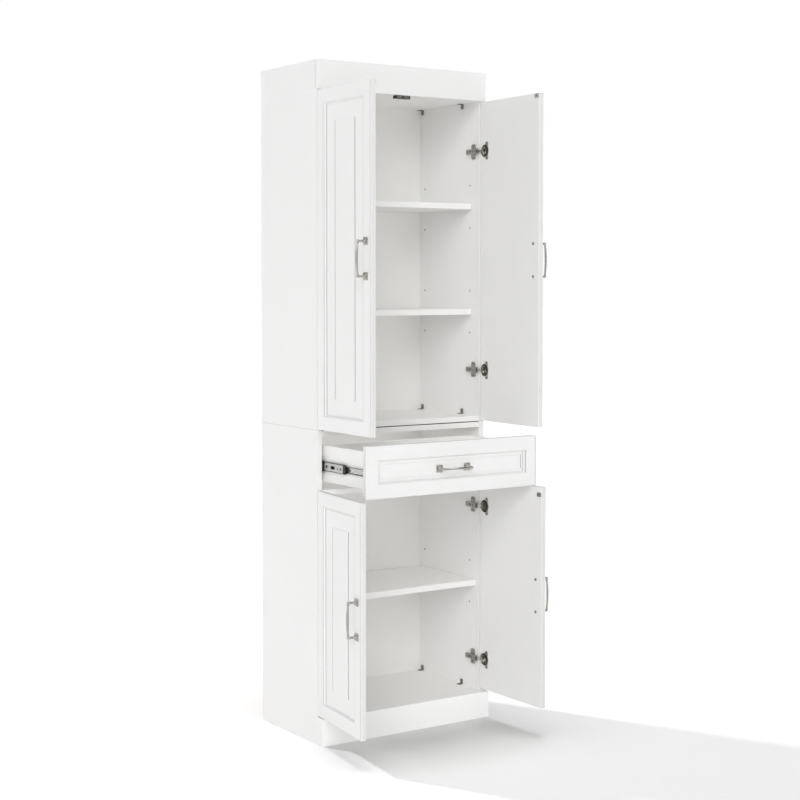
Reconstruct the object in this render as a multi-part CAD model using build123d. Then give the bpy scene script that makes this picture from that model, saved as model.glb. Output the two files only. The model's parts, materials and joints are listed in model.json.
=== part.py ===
from build123d import *
import math
import os

os.makedirs("parts", exist_ok=True)

# Free-standing two-module pantry cabinet: four full-overlay doors on concealed hinges, one drawer on
# ball-bearing slides, adjustable shelves.
# Frame: origin on the floor, at the middle of the back plane. +X to the right seen from the front,
# -Y out of the front, +Z up. Millimetres.

# ------------------------------------------------------------------ driving dimensions
H = 1829.0            # overall height (72 in)
W = 550.0             # overall width
D = 304.0             # carcass depth, back plane to the front edges of the sides (12 in)
T = 15.0              # board thickness
T_SHELF = 16.0
T_BACK = 5.0
T_DRAWER = 12.0
Z_SEAM = 845.0        # lower module ends and upper module begins
Z_CROWN = 1750.0      # lower edge of the crown boards
CROWN_PROUD = 8.0     # crown front board in front of the carcass plane
PLINTH_H = 74.0
PLINTH_PROUD = 27.0
EASE = 0.6            # softened board edges

UP_DOOR_Z = (847.6, 1747.6)
LOW_DOOR_Z = (80.0, 683.7)
DRAWER_Z = (685.7, 822.0)
DIVIDER_Z = (669.0, 684.0)
LOW_TOP_Z = (828.0, 843.0)
DOOR_T = 15.0
DOOR_W = 272.5
REVEAL = 1.0          # door's hinge edge, inboard of the side's outer face
DOOR_GAP = 2.0        # closed door's inner face in front of the carcass plane
OPEN = {"ul": 91.0, "ur": 88.6, "ll": 97.2, "lr": 91.2}   # rest pose, degrees from closed

PIVOT_U, PIVOT_V = 6.35, 9.45     # door's axis: inboard of the side's outer face, in front of the carcass plane
HINGE_Z = {"u": (990.7, 1609.5), "l": (166.5, 604.3)}
CUP_R, CUP_DEPTH, CUP_EDGE = 17.5, 11.3, 3.0              # 35 mm cup, 3 mm from the door's edge
ARM_U, ARM_V = 24.0, 0.5                                  # link's pin in the arm
LINK_LEN, LINK_CLOSED, LINK_RATIO = 15.74, 170.86, 0.3944
LINK_T = 0.9                                              # half the link's thickness
PIN_R = 1.5

SHELF_PIN_Z = {"upper_shelf_high": 1455.0, "upper_shelf_low": 1155.0, "lower_shelf": 381.0}
PIN_PITCH = 60.0
PIN_ROWS = (46.0, 273.0)          # behind the carcass plane
SHELF_FRONT = {"upper_shelf_high": 38.0, "upper_shelf_low": 38.0, "lower_shelf": 13.5}
PEG_R = 2.5

HANDLE_CC = 88.9                  # 3.5 in
HANDLE_EDGE = 24.0                # handle's line from the door's free edge
HANDLE_Z = {"u": 1299.0, "l": 385.0}
DRAWER_HANDLE_Z = 751.5

SLIDE_LEN = 250.0
SLIDE_Z = 748.5
SLIDE_GAP = 12.7
DRAWER_OUT = 226.0                # rest pose
DRAWER_BOX_Z = (706.0, 803.0)
DRAWER_BOX_LEN = 252.0
DRAWER_FIELD = 4.5                # drawer front's middle field, below its frame; the pull sits on it

XL, YF = -W / 2, -D
written = []


def save(name, *shapes):
    """One node from one or more solids."""
    solids = [s for shape in shapes for s in shape.solids()]
    export_step(solids[0] if len(solids) == 1 else Compound(children=solids), f"parts/{name}.step")
    written.append(name)


def block(x0, x1, y0, y1, z0, z1):
    return Pos((x0 + x1) / 2, (y0 + y1) / 2, (z0 + z1) / 2) * Box(abs(x1 - x0), abs(y1 - y0), abs(z1 - z0))


def board(x0, x1, y0, y1, z0, z1, r=EASE):
    b = block(x0, x1, y0, y1, z0, z1)
    return fillet(b.edges(), r) if r else b


def rod(r, p, q):
    """Cylinder of radius r from p to q."""
    p, q = Vector(*p), Vector(*q)
    return Plane(origin=p, z_dir=q - p) * Cylinder(r, (q - p).length, align=(Align.CENTER, Align.CENTER, Align.MIN))


def frustum(w0, h0, z0, w1, h1, z1):
    return loft([Pos(0, 0, z0) * Rectangle(w0, h0), Pos(0, 0, z1) * Rectangle(w1, h1)], ruled=True)


def mirror_x(shape):
    return mirror(shape, Plane.YZ)


# ------------------------------------------------------------------ carcass boards
def uv(u, v, z):
    """A point given inboard of the left side's outer face and in front of the carcass plane."""
    return (XL + u, YF - v, z)


def side(z0, z1, pin_zs, hinge_zs, screw_pts):
    s = board(XL, XL + T, YF, 0, z0, z1)
    for zc in pin_zs:
        for dz in (-PIN_PITCH, 0, PIN_PITCH):
            for row in PIN_ROWS:
                s -= rod(PEG_R, uv(T - 10, -row, zc + dz), uv(T + 1, -row, zc + dz))
    for zc in hinge_zs:
        for dz in (-16, 16):
            s -= rod(2.0, uv(T - 11, -27, zc + dz), uv(T + 1, -27, zc + dz))
    for y, z in screw_pts:
        s -= rod(2.0, (XL + T - 9, y, z), (XL + T + 1, y, z))
    return s


SLIDE_SCREW_Y = (YF + 37, YF + 229)
upper_side = side(Z_SEAM, Z_CROWN, (SHELF_PIN_Z["upper_shelf_high"], SHELF_PIN_Z["upper_shelf_low"]), HINGE_Z["u"], [])
lower_side = side(0, Z_SEAM, (SHELF_PIN_Z["lower_shelf"],), HINGE_Z["l"], [(y, SLIDE_Z) for y in SLIDE_SCREW_Y])
save("upper_side_left", upper_side)
save("upper_side_right", mirror_x(upper_side))
save("lower_side_left", lower_side)
save("lower_side_right", mirror_x(lower_side))

XI = XL + T           # inner face of the left side
save("crown_front", board(XL, -XL, YF - CROWN_PROUD, YF - CROWN_PROUD + T, Z_CROWN, H, 1.2))
crown_return = board(XL, XI, YF - CROWN_PROUD + T, 0, Z_CROWN, H)
save("crown_returns", crown_return, mirror_x(crown_return))
anchor_z = (Z_CROWN + T + H) / 2
rail = board(XI, -XI, -T, 0, Z_CROWN + T, H)
for x in (-200, 200):
    rail -= rod(2.75, (x, -T - 1, anchor_z), (x, 1, anchor_z))
save("crown_back_rail", rail)
save("top_panel", block(XI, -XI, YF - CROWN_PROUD + T, 0, Z_CROWN, Z_CROWN + T))
save("upper_bottom_panel", board(XI, -XI, YF, -T_BACK, Z_SEAM, Z_SEAM + T))
save("upper_back_panel", block(XI, -XI, -T_BACK, 0, Z_SEAM, Z_CROWN))
save("lower_top_panel", board(XI, -XI, YF, -T_BACK, *LOW_TOP_Z))
save("drawer_divider", board(XI, -XI, YF, -T_BACK, *DIVIDER_Z))
save("lower_bottom_panel", block(XI, -XI, YF - PLINTH_PROUD + T, 0, PLINTH_H - T, PLINTH_H))
save("lower_back_panel", block(XI, -XI, -T_BACK, 0, PLINTH_H, Z_SEAM))
save("plinth_front", board(XL, -XL, YF - PLINTH_PROUD, YF - PLINTH_PROUD + T, 0, PLINTH_H, 1.0))
plinth_return = block(XL, XI, YF - PLINTH_PROUD + T, YF, 0, PLINTH_H)
save("plinth_returns", plinth_return, mirror_x(plinth_return))
save("rear_base_rail", block(XI, -XI, -T, 0, 0, PLINTH_H - T))

# Shelves: loose boards with a groove over each peg.
pegs = []
for name, zp in SHELF_PIN_Z.items():
    z0 = zp - T_SHELF / 2
    shelf = board(XI + 1, -XI - 1, YF + SHELF_FRONT[name], -T_BACK - 1.5, z0, z0 + T_SHELF)
    for row in PIN_ROWS:
        for sx in (-1, 1):
            xs = sorted((sx * -XI, sx * (-XI - 12)))
            shelf -= block(xs[0], xs[1], YF + row - 2.7, YF + row + 2.7, z0 - 1, zp + PEG_R)
            pegs.append(rod(PEG_R, (sx * (-XI + 9.5), YF + row, zp), (sx * (-XI - 9), YF + row, zp)))
    save(name, shelf)
save("shelf_pins", *pegs)

# Corner brackets: small steel angles that tie the panels to the sides.
BR, BR_W, BR_T = 15.0, 12.0, 1.6


def bracket(y, z, up):
    leg = block(XI, XI + BR_T, y - BR_W / 2, y + BR_W / 2, z, z + up * BR)
    foot = block(XI + BR_T, XI + BR, y - BR_W / 2, y + BR_W / 2, z, z + up * BR_T)
    return leg + foot


brackets = []
for z, up in ((Z_SEAM + T, 1), (Z_CROWN, -1), (PLINTH_H, 1), (DIVIDER_Z[0], -1)):
    for back in (83.0, 285.0):
        b = bracket(YF + back, z, up)
        brackets += [b, mirror_x(b)]
save("corner_brackets", *brackets)


# ------------------------------------------------------------------ concealed hinges
def plate():
    """Cruciform mounting plate on the left side's inner face, centred on z = 0."""
    wings = block(XL + T, XL + T + 2, YF + 17, YF + 37, -21.5, 21.5)
    wings = fillet(wings.edges().filter_by(Axis.X), 5)
    rail = block(XL + T + 2, XL + T + 7.5, YF + 11, YF + 49, -5, 5)
    base = block(XL + T, XL + T + 2, YF + 11, YF + 49, -5, 5)
    p = wings + base + rail
    for dz in (-16, 16):
        p -= rod(2.0, uv(T - 1, -27, dz), uv(T + 4, -27, dz))
    return p


def arm():
    """Channel-section arm on the plate's rail, with two cheeks that carry the link's pin."""
    web_u = T + 7.5
    a = block(XL + web_u, XL + web_u + 1.4, YF + 6, YF + 53, -7, 7)
    a = fillet(a.edges().filter_by(Axis.X).sort_by(Axis.Y)[2:], 4)
    cheek = [(T + 2.4, -50.0), (web_u + 0.2, -50.0), (web_u + 0.2, -8), (27.4, -3.0), (27.6, 1.5), (26.0, 3.6),
             (22.6, 3.6), (20.6, 2.4), (19.4, -1.5), (T + 2.4, -6.0)]
    for w in (-7.0, 5.8):
        outline = Polyline(*[uv(u, v, 0) for u, v in cheek], close=True)
        a += Pos(0, 0, w) * extrude(make_face(outline), 1.2)
    for v, r in ((-20.0, 2.6), (-42.0, 2.6)):
        a -= rod(r, uv(web_u + 0.7, v, 0), uv(web_u + 3, v, 0))
    a -= rod(PIN_R, uv(ARM_U, ARM_V, -9), uv(ARM_U, ARM_V, 9))
    return a


def pin():
    return rod(PIN_R, uv(ARM_U, ARM_V, -7), uv(ARM_U, ARM_V, 7))


def link():
    """Link at the closed position, from the arm's pin to the cup."""
    t = math.radians(LINK_CLOSED)
    cu, cv = ARM_U + LINK_LEN * math.cos(t), ARM_V + LINK_LEN * math.sin(t)
    du, dv, nu, nv = math.cos(t), math.sin(t), math.sin(t), -math.cos(t)
    # The strip bows away from the cup's rim.
    line = [(0.0, 0.0), (0.2, 1.7), (0.72, 2.1), (1.0, 0.0)]
    edge = [(f, o + LINK_T) for f, o in line] + [(f, o - LINK_T) for f, o in reversed(line)]
    strip = Polyline(*[uv(ARM_U + f * LINK_LEN * du + o * nu, ARM_V + f * LINK_LEN * dv + o * nv, 0) for f, o in edge],
                     close=True)
    body = Pos(0, 0, -3.8) * extrude(make_face(strip), 7.6)
    body += rod(2.7, uv(ARM_U, ARM_V, -5.5), uv(ARM_U, ARM_V, 5.5))
    body += rod(2.0, uv(cu, cv, -3.8), uv(cu, cv, 3.8))
    return body - rod(PIN_R + 0.06, uv(ARM_U, ARM_V, -9), uv(ARM_U, ARM_V, 9))


CUP_U = REVEAL + CUP_EDGE + CUP_R
STUB_U, STUB_V = 8.46, 3.0        # cup's pin at the closed position
FLANGE_SCREW = (CUP_U + 9.5, 21.0)


def cup():
    """Pressed steel cup with its flange, in the closed door, centred on z = 0."""
    v0 = DOOR_GAP
    c = rod(CUP_R, uv(CUP_U, v0, 0), uv(CUP_U, v0 + CUP_DEPTH, 0))
    flange = block(XL + CUP_U + 3.5, XL + CUP_U + 15.5, YF - v0 + 1.0, YF - v0, -25, 25)
    flange = fillet(flange.edges().filter_by(Axis.Y), 4.5)
    c += flange + rod(CUP_R + 0.6, uv(CUP_U, v0 - 1.0, 0), uv(CUP_U, v0, 0))
    c -= rod(CUP_R - 0.8, uv(CUP_U, v0 - 2, 0), uv(CUP_U, v0 + CUP_DEPTH - 0.8, 0))
    for s in (-1, 1):
        c += rod(PIN_R, uv(STUB_U, STUB_V, s * 4.3), uv(STUB_U, STUB_V, s * 9.0))
        c -= rod(1.9, uv(FLANGE_SCREW[0], v0 - 3, s * FLANGE_SCREW[1]), uv(FLANGE_SCREW[0], v0 + 3, s * FLANGE_SCREW[1]))
    return c


def wood_screw(r, length, head_r, head_h, at, out):
    """Screw whose head sits on the surface at `at`; `out` is the unit direction away from the wood."""
    at, out = Vector(*at), Vector(*out)
    shank = Plane(origin=at, z_dir=-out) * Cylinder(r, length, align=(Align.CENTER, Align.CENTER, Align.MIN))
    head = Plane(origin=at, z_dir=out) * Cylinder(head_r, head_h, align=(Align.CENTER, Align.CENTER, Align.MIN))
    head = chamfer([e for e in head.edges() if (e.center() - at).dot(out) > head_h * 0.9], head_h * 0.3)
    return shank + head


the_plate, the_arm, the_pin = plate(), arm(), pin()
plates, arms, screws = [], [], []
for level in ("u", "l"):
    for z in HINGE_Z[level]:
        plates += [Pos(0, 0, z) * the_plate, mirror_x(Pos(0, 0, z) * the_plate)]
        for piece in (the_arm, the_pin):
            arms += [Pos(0, 0, z) * piece, mirror_x(Pos(0, 0, z) * piece)]
        for dz in (-16, 16):
            s = wood_screw(2.0, 12.5, 3.4, 1.4, uv(T + 2, -27, z + dz), (1, 0, 0))
            screws += [s, mirror_x(s)]
save("hinge_plates", *plates)
save("hinge_arms", *arms)

# ------------------------------------------------------------------ drawer slides
# Cross-sections: p is the distance from the side's inner face, q is up from the slide's middle line.
SX = XI


def bar(p0, p1, q0, q1, y0, y1):
    return block(SX + p0, SX + p1, y0, y1, SLIDE_Z + q0, SLIDE_Z + q1)


y_out = (YF + 2, YF + 2 + SLIDE_LEN)
outer = bar(0, 1.2, -17.5, 17.5, *y_out)
mid = bar(5.0, 6.2, -13, 13, *y_out)
inner = bar(11.5, 12.7, -9, 9, *y_out)
cages = []
for s in (-1, 1):
    outer += bar(1.2, 9.0, *sorted((s * 16.3, s * 17.5)), *y_out)
    mid += bar(6.2, 10.8, *sorted((s * 11.8, s * 13.0)), *y_out)
    inner += bar(7.0, 11.5, *sorted((s * 7.8, s * 9.0)), *y_out)
    cages.append(bar(3.6, 8.6, *sorted((s * 13.0, s * 16.2)), y_out[0] + 176, y_out[0] + 236))
    cages.append(bar(6.4, 10.6, *sorted((s * 9.1, s * 11.8)), y_out[0] - 1.0, y_out[0] + 62))
for y in SLIDE_SCREW_Y:
    outer -= rod(2.0, (SX - 1, y, SLIDE_Z), (SX + 3, y, SLIDE_Z))
    s = wood_screw(2.0, 9.2, 3.3, 1.1, (SX + 1.2, y, SLIDE_Z), (1, 0, 0))
    screws += [s, mirror_x(s)]
save("carcass_screws", *screws)
save("slide_outer_members", outer, mirror_x(outer))
half = Pos(0, -DRAWER_OUT / 2, 0)
save("slide_mid_members", half * mid, half * mirror_x(mid))
save("slide_ball_cages", *[half * c for c in cages], *[half * mirror_x(c) for c in cages])

# ------------------------------------------------------------------ magnetic catches
catches = []
for z in (Z_CROWN, DIVIDER_Z[0]):
    case = board(-23.5, 23.5, YF - 0.3, YF + 14, z - 8.5, z, 0.8)
    for x in (-12.0, 12.0):
        case -= block(x - 8, x + 8, YF - 1, YF + 9, z - 6.8, z - 1.8)
        catches.append(block(x - 8, x + 8, YF - 0.8, YF + 9, z - 6.8, z - 1.8))
    catches.append(case)
save("magnetic_catches", *catches)


# ------------------------------------------------------------------ handles
def handle():
    """Bow pull lying along X, standing out along +Z from z = 0."""
    path = ThreePointArc((-HANDLE_CC / 2, 0, 24.0), (0, 0, 27.0), (HANDLE_CC / 2, 0, 24.0))
    h = sweep(Plane(origin=path @ 0, z_dir=path % 0) * Circle(2.9), path=path)
    for x in (-HANDLE_CC / 2, HANDLE_CC / 2):
        foot = chamfer((Pos(x, 0, 1.3) * Box(20, 20, 2.6)).faces().sort_by(Axis.Z)[-1].edges(), 0.9)
        step = chamfer((Pos(x, 0, 3.7) * Box(14, 14, 2.6)).faces().sort_by(Axis.Z)[-1].edges(), 1.0)
        neck = Pos(x, 0, 4.6) * Cone(5.2, 3.2, 8.0, align=(Align.CENTER, Align.CENTER, Align.MIN))
        post = Pos(x, 0, 12.0) * Cylinder(3.2, 12.0, align=(Align.CENTER, Align.CENTER, Align.MIN))
        h += foot + step + neck + post + Pos(x, 0, 24.0) * Sphere(3.2)
        h -= Pos(x, 0, -1) * Cylinder(2.0, 11.0, align=(Align.CENTER, Align.CENTER, Align.MIN))
    return h


def handle_screw(at, out, through):
    """Machine screw: head on the inner face at `at`, `out` away from the board, reaching `through` into the other side."""
    return wood_screw(2.0, through, 4.0, 2.0, at, out)


the_handle = handle()


# ------------------------------------------------------------------ door leaves
def routed(w, h, t, sticking=(38.0, 40.5, 5.4), field=(86.0, 87.0, 4.9)):
    """Board of w x h x t with its face at z = 0 and its thickness below, routed as a framed panel.
    sticking and field are (inset where the slope begins, inset where it ends, depth there)."""
    b = fillet((Pos(0, 0, -t / 2) * Box(w, h, t)).edges(), 1.5)
    (i0, i1, d), (j0, j1, e) = sticking, field
    cut = frustum(w - 2 * i0, h - 2 * i0, 0, w - 2 * i1, h - 2 * i1, -d)
    cut += Pos(0, 0, 0.5) * Box(w - 2 * i0, h - 2 * i0, 1.0)
    cut -= frustum(w - 2 * j0, h - 2 * j0, -d - 0.001, w - 2 * j1, h - 2 * j1, -e)
    return b - cut


def place_face(shape, u_mid, v_face, z_mid):
    """Local x to X, local y to Z, local z out of the front."""
    return Pos(*uv(u_mid, v_face, z_mid)) * (Rot(90, 0, 0) * shape)


V_FACE = DOOR_GAP + DOOR_T
STRIKE_Z = {"u": (1735.2, 1747.0), "l": (657.0, 669.0)}

for key in ("ul", "ur", "ll", "lr"):
    level, hand = key
    z0, z1 = UP_DOOR_Z if level == "u" else LOW_DOOR_Z
    leaf = place_face(routed(DOOR_W, z1 - z0, DOOR_T), REVEAL + DOOR_W / 2, V_FACE, (z0 + z1) / 2)
    hu = REVEAL + DOOR_W - HANDLE_EDGE
    hz = HANDLE_Z[level]
    pull = Pos(*uv(hu, V_FACE, hz)) * (Rot(0, 0, 0) * (Rot(90, 0, 0) * (Rot(0, 0, 90) * the_handle)))
    fasteners, cups = [], []
    for dz in (-HANDLE_CC / 2, HANDLE_CC / 2):
        leaf -= rod(2.2, uv(hu, DOOR_GAP - 1, hz + dz), uv(hu, V_FACE + 1, hz + dz))
        fasteners.append(handle_screw(uv(hu, DOOR_GAP, hz + dz), (0, 1, 0), DOOR_T + 8))
    for z in HINGE_Z[level]:
        leaf -= rod(CUP_R, uv(CUP_U, DOOR_GAP - 1, z), uv(CUP_U, DOOR_GAP + CUP_DEPTH, z))
        cups.append(Pos(0, 0, z) * cup())
        for s in (-1, 1):
            su, sz = FLANGE_SCREW[0], z + s * FLANGE_SCREW[1]
            leaf -= rod(1.5, uv(su, DOOR_GAP - 1, sz), uv(su, DOOR_GAP + 9, sz))
            fasteners.append(wood_screw(1.5, 10.0, 3.2, 1.0, uv(su, DOOR_GAP - 1.0, sz), (0, 1, 0)))
    sz0, sz1 = STRIKE_Z[level]
    su = REVEAL + DOOR_W - 10.5
    strike = block(XL + su - 9, XL + su + 9, YF - DOOR_GAP, YF - DOOR_GAP + 1.0, sz0, sz1)
    strike = fillet(strike.edges().filter_by(Axis.Y), 2.0) - rod(1.6, uv(su, DOOR_GAP - 3, (sz0 + sz1) / 2), uv(su, DOOR_GAP + 3, (sz0 + sz1) / 2))
    leaf -= rod(1.5, uv(su, DOOR_GAP - 1, (sz0 + sz1) / 2), uv(su, DOOR_GAP + 8, (sz0 + sz1) / 2))
    fasteners.append(rod(1.5, uv(su, DOOR_GAP - 1.0, (sz0 + sz1) / 2), uv(su, DOOR_GAP + 8, (sz0 + sz1) / 2)))
    swing = Pos(*uv(PIVOT_U, PIVOT_V, 0)) * Rot(0, 0, -OPEN[key]) * Pos(*[-c for c in uv(PIVOT_U, PIVOT_V, 0)])
    turn = Pos(*uv(ARM_U, ARM_V, 0)) * Rot(0, 0, LINK_RATIO * OPEN[key]) * Pos(*[-c for c in uv(ARM_U, ARM_V, 0)])
    links = [turn * (Pos(0, 0, z) * link()) for z in HINGE_Z[level]]
    hand_of = (lambda s: s) if hand == "l" else mirror_x
    long = {"ul": "upper_left", "ur": "upper_right", "ll": "lower_left", "lr": "lower_right"}[key]
    save(f"door_{long}", hand_of(swing * leaf))
    save(f"handle_{long}", hand_of(swing * pull))
    save(f"hinge_cups_{long}", *[hand_of(swing * c) for c in cups])
    save(f"strike_plate_{long}", hand_of(swing * strike))
    save(f"door_screws_{long}", *[hand_of(swing * f) for f in fasteners])
    save(f"hinge_links_{long}", *[hand_of(k) for k in links])

# ------------------------------------------------------------------ drawer
out = Pos(0, -DRAWER_OUT, 0)
dz0, dz1 = DRAWER_Z
front = routed(W - 2 * REVEAL, dz1 - dz0, DOOR_T, sticking=(38.0, 40.5, 5.0), field=(49.5, 50.5, DRAWER_FIELD))
front = place_face(front, W / 2, V_FACE, (dz0 + dz1) / 2)
fasteners = []
for dx in (-HANDLE_CC / 2, HANDLE_CC / 2):
    front -= rod(2.2, uv(W / 2 + dx, DOOR_GAP - 1, DRAWER_HANDLE_Z), uv(W / 2 + dx, V_FACE + 1, DRAWER_HANDLE_Z))
    fasteners.append(handle_screw(uv(W / 2 + dx, DOOR_GAP, DRAWER_HANDLE_Z), (0, 1, 0), DOOR_T - DRAWER_FIELD + 8))
save("drawer_front", out * front)
save("drawer_handle", out * (Pos(*uv(W / 2, V_FACE - DRAWER_FIELD, DRAWER_HANDLE_Z)) * (Rot(90, 0, 0) * the_handle)))
save("drawer_screws", *[out * f for f in fasteners])
bx = -XI - SLIDE_GAP                       # drawer side's outer face
by0, by1 = YF - DOOR_GAP, YF - DOOR_GAP + DRAWER_BOX_LEN
bz0, bz1 = DRAWER_BOX_Z
GROOVE_Z, GROOVE_D, BOTTOM_T = bz0 + 10, 5.0, 4.0
d_side = board(-bx, -bx + T_DRAWER, by0, by1, bz0, bz1)
d_side -= block(-bx + T_DRAWER - GROOVE_D, -bx + T_DRAWER + 1, by0 - 1, by1 + 1, GROOVE_Z, GROOVE_Z + BOTTOM_T)
save("drawer_sides", out * d_side, out * mirror_x(d_side))
d_back = board(-bx + T_DRAWER, bx - T_DRAWER, by1 - T_DRAWER, by1, GROOVE_Z + BOTTOM_T, bz1)
save("drawer_back", out * d_back)
save("drawer_bottom", out * block(-bx + T_DRAWER - GROOVE_D, bx - T_DRAWER + GROOVE_D, by0, by1 - 1, GROOVE_Z, GROOVE_Z + BOTTOM_T))
save("slide_inner_members", out * inner, out * mirror_x(inner))

print(len(written), "nodes")
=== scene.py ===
import json
import math
import random

import bmesh
import bpy
from mathutils import Matrix, Vector

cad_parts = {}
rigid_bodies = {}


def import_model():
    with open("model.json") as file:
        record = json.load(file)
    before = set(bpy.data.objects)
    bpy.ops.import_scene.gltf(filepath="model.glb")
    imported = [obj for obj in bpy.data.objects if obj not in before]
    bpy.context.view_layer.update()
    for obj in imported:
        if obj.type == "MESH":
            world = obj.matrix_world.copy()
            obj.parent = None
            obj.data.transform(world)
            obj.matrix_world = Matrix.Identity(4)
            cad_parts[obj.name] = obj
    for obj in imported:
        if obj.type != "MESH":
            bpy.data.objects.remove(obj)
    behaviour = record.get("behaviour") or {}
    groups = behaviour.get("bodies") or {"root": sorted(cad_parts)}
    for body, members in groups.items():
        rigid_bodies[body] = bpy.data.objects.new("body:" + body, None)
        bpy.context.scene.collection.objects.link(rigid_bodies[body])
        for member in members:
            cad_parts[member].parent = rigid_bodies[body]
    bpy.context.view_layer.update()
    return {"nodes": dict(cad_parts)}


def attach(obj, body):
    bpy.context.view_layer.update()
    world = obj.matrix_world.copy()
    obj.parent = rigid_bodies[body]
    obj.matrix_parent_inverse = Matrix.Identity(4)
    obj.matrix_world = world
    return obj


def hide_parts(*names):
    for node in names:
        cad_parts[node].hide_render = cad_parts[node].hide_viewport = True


random.seed(7)
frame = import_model()
NODES = frame["nodes"]
SCENE = bpy.context.scene

# ------------------------------------------------------------------ the CAD's own dimensions, mm
W, D, T = 550.0, 304.0, 15.0
XL, YF = -W / 2, -D
XI = XL + T
DOOR_W, DOOR_T, DOOR_GAP, REVEAL = 272.5, 15.0, 2.0, 1.0
V_FACE = DOOR_GAP + DOOR_T
DOOR_Z = {"u": (847.6, 1747.6), "l": (80.0, 683.7)}
DRAWER_Z = (685.7, 822.0)
OPEN = {"ul": 91.0, "ur": 88.6, "ll": 97.2, "lr": 91.2}
LONG = {"ul": "upper_left", "ur": "upper_right", "ll": "lower_left", "lr": "lower_right"}
PIVOT = (6.35, 9.45)
HINGE_Z = {"u": (990.7, 1609.5), "l": (166.5, 604.3)}
CUP_U, CUP_R = 21.5, 17.5
ARM_U, ARM_V, LINK_LEN, LINK_CLOSED, LINK_RATIO = 24.0, 0.5, 15.74, 170.86, 0.3944
HANDLE_CC, HANDLE_Z, DRAWER_HANDLE_Z = 88.9, {"u": 1299.0, "l": 385.0}, 751.5
DRAWER_OUT, DRAWER_FIELD, SLIDE_Z = 226.0, 4.5, 748.5
STRIKE_Z = {"u": (1735.2, 1747.0), "l": (657.0, 669.0)}

MM = Matrix.Diagonal((0.001, 0.001, 0.001, 1.0))
MIRROR = Matrix.Diagonal((-1.0, 1.0, 1.0, 1.0))


def uv(u, v, z=0.0):
    return Vector((XL + u, YF - v, z))


def about(p, deg):
    return Matrix.Translation(p) @ Matrix.Rotation(math.radians(deg), 4, "Z") @ Matrix.Translation(-p)


def hand(key):
    return MIRROR if key[1] == "r" else Matrix.Identity(4)


def door_m(key):
    """Closed left-hand millimetres to the door's rest pose in metres."""
    return MM @ hand(key) @ about(uv(*PIVOT), -OPEN[key])


def link_m(key):
    return MM @ hand(key) @ about(uv(ARM_U, ARM_V), LINK_RATIO * OPEN[key])


# Local frames: "face" has x along X, y up, z out of the front. "side" has x along u, y along v, z up.
FACE = Matrix(((1, 0, 0, 0), (0, 0, -1, 0), (0, 1, 0, 0), (0, 0, 0, 1)))
UVZ = Matrix.Translation((XL, YF, 0)) @ Matrix.Diagonal((1, -1, 1, 1))


# ------------------------------------------------------------------ materials
def nodes_of(name):
    m = bpy.data.materials.new(name)
    m.use_nodes = True
    nt = m.node_tree
    nt.nodes.clear()
    out = nt.nodes.new("ShaderNodeOutputMaterial")
    b = nt.nodes.new("ShaderNodeBsdfPrincipled")
    nt.links.new(b.outputs["BSDF"], out.inputs["Surface"])
    return m, nt, b


def noise(nt, scale, detail=2.0, rough=0.5, stretch=(1, 1, 1), kind="Object"):
    tc = nt.nodes.new("ShaderNodeTexCoord")
    mp = nt.nodes.new("ShaderNodeMapping")
    mp.inputs["Scale"].default_value = stretch
    n = nt.nodes.new("ShaderNodeTexNoise")
    n.inputs["Scale"].default_value = scale
    n.inputs["Detail"].default_value = detail
    n.inputs["Roughness"].default_value = rough
    nt.links.new(tc.outputs[kind], mp.inputs["Vector"])
    nt.links.new(mp.outputs["Vector"], n.inputs["Vector"])
    return n.outputs["Fac"]


def ramp(nt, fac, stops):
    r = nt.nodes.new("ShaderNodeValToRGB")
    e = r.color_ramp.elements
    while len(e) < len(stops):
        e.new(0.5)
    for el, (p, c) in zip(e, stops):
        el.position = p
        el.color = (*c, 1.0) if len(c) == 3 else c
    nt.links.new(fac, r.inputs["Fac"])
    return r.outputs["Color"]


def span(nt, fac, lo, hi, a=0.3, b=0.7):
    m = nt.nodes.new("ShaderNodeMapRange")
    m.inputs["From Min"].default_value, m.inputs["From Max"].default_value = a, b
    m.inputs["To Min"].default_value, m.inputs["To Max"].default_value = lo, hi
    nt.links.new(fac, m.inputs["Value"])
    return m.outputs["Result"]


def bump(nt, b, height, strength, dist, normal=None):
    n = nt.nodes.new("ShaderNodeBump")
    n.inputs["Strength"].default_value = strength
    n.inputs["Distance"].default_value = dist
    nt.links.new(height, n.inputs["Height"])
    if normal is not None:
        nt.links.new(normal, n.inputs["Normal"])
    nt.links.new(n.outputs["Normal"], b.inputs["Normal"])
    return n.outputs["Normal"]


def tint(c, k):
    return tuple(x * k for x in c)


def painted(name, base, rough, peel=0.05, peel_scale=700.0, vary=0.012, spec=0.5):
    """Sprayed satin lacquer over board: faint orange peel, slow shade drift, uneven gloss."""
    m, nt, b = nodes_of(name)
    drift = noise(nt, 3.1, 4.0, 0.6)
    nt.links.new(ramp(nt, drift, [(0.3, tint(base, 1 - vary)), (0.7, tint(base, 1 + vary * 0.6))]), b.inputs["Base Color"])
    nt.links.new(span(nt, noise(nt, 26.0, 5.0, 0.65), rough - 0.05, rough + 0.06), b.inputs["Roughness"])
    b.inputs["Specular IOR Level"].default_value = spec
    first = bump(nt, b, noise(nt, peel_scale, 2.0, 0.5), peel, 0.0004)
    bump(nt, b, noise(nt, 90.0, 2.0, 0.4), peel * 0.5, 0.001, first)
    return m


WHITE = (0.868, 0.866, 0.862)
paint = painted("white_paint", WHITE, 0.36)
paint_door = painted("white_paint_door", (0.870, 0.868, 0.864), 0.33, peel_scale=820.0)
# Darker paint on the fronts' rounded edges: painted shade for edge faces that the light reaches less.
edge_shade_paint = painted("painted_shade_on_edges", (0.76, 0.757, 0.748), 0.42, peel=0.03)
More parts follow.
